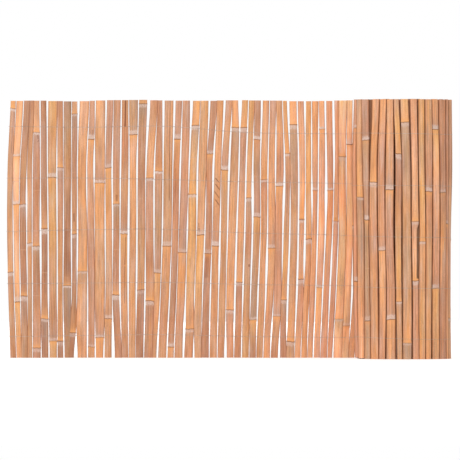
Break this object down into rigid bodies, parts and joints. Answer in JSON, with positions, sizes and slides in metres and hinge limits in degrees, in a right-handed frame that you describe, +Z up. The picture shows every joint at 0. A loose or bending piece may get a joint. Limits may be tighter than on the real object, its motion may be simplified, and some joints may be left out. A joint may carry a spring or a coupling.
{
  "type": "bamboo screen",
  "caption": "Split bamboo slat screen bound with wire rows, standing on its slat ends with a flat leaf and the rest wound in a roll.",
  "frame": {"origin": "middle of the footprint, on the ground", "axes": "+Z up the slats, +X along the leaf from its free end to the roll, +Y towards the side of the leaf away from the roll"},
  "size_m": [0.8635, 0.1934, 0.5],
  "materials": {
    "bamboo_orange": "dry split bamboo, orange tan",
    "bamboo_rose": "dry split bamboo, rose brown",
    "bamboo_tan": "dry split bamboo, gold tan",
    "bamboo_grey": "dry split bamboo, weathered grey tan",
    "galvanised_wire": "dull galvanised"
  },
  "bodies": {
    "root": {"slat_01": "bamboo_rose", "slat_02": "bamboo_orange", "slat_03": "bamboo_rose", "slat_04": "bamboo_orange", "slat_05": "bamboo_rose", "slat_06": "bamboo_rose", "slat_07": "bamboo_tan", "slat_08": "bamboo_orange", "slat_09": "bamboo_grey", "slat_10": "bamboo_rose", "slat_11": "bamboo_orange", "slat_12": "bamboo_orange", "slat_13": "bamboo_tan", "slat_14": "bamboo_rose", "slat_15": "bamboo_rose", "slat_16": "bamboo_orange", "slat_17": "bamboo_tan", "slat_18": "bamboo_rose", "slat_19": "bamboo_rose", "slat_20": "bamboo_tan", "slat_21": "bamboo_orange", "slat_22": "bamboo_rose", "slat_23": "bamboo_rose", "slat_24": "bamboo_tan", "slat_25": "bamboo_orange", "slat_26": "bamboo_rose", "slat_27": "bamboo_orange", "slat_28": "bamboo_tan", "slat_29": "bamboo_orange", "slat_30": "bamboo_rose", "slat_31": "bamboo_tan", "slat_32": "bamboo_grey", "slat_33": "bamboo_orange", "slat_34": "bamboo_orange", "slat_35": "bamboo_orange", "slat_36": "bamboo_tan", "slat_37": "bamboo_grey", "slat_38": "bamboo_orange", "slat_39": "bamboo_orange", "slat_40": "bamboo_orange", "slat_41": "bamboo_orange", "slat_42": "bamboo_rose", "slat_43": "bamboo_rose", "slat_44": "bamboo_tan", "slat_45": "bamboo_orange", "slat_46": "bamboo_orange", "slat_47": "bamboo_orange", "slat_48": "bamboo_rose", "slat_49": "bamboo_tan", "slat_50": "bamboo_orange", "slat_51": "bamboo_grey", "slat_52": "bamboo_orange", "wound_roll": "bamboo_orange", "binding_wire_1": "galvanised_wire", "binding_wire_2": "galvanised_wire", "binding_wire_3": "galvanised_wire", "binding_wire_4": "galvanised_wire", "binding_wire_5": "galvanised_wire"}
  },
  "joints": []
}
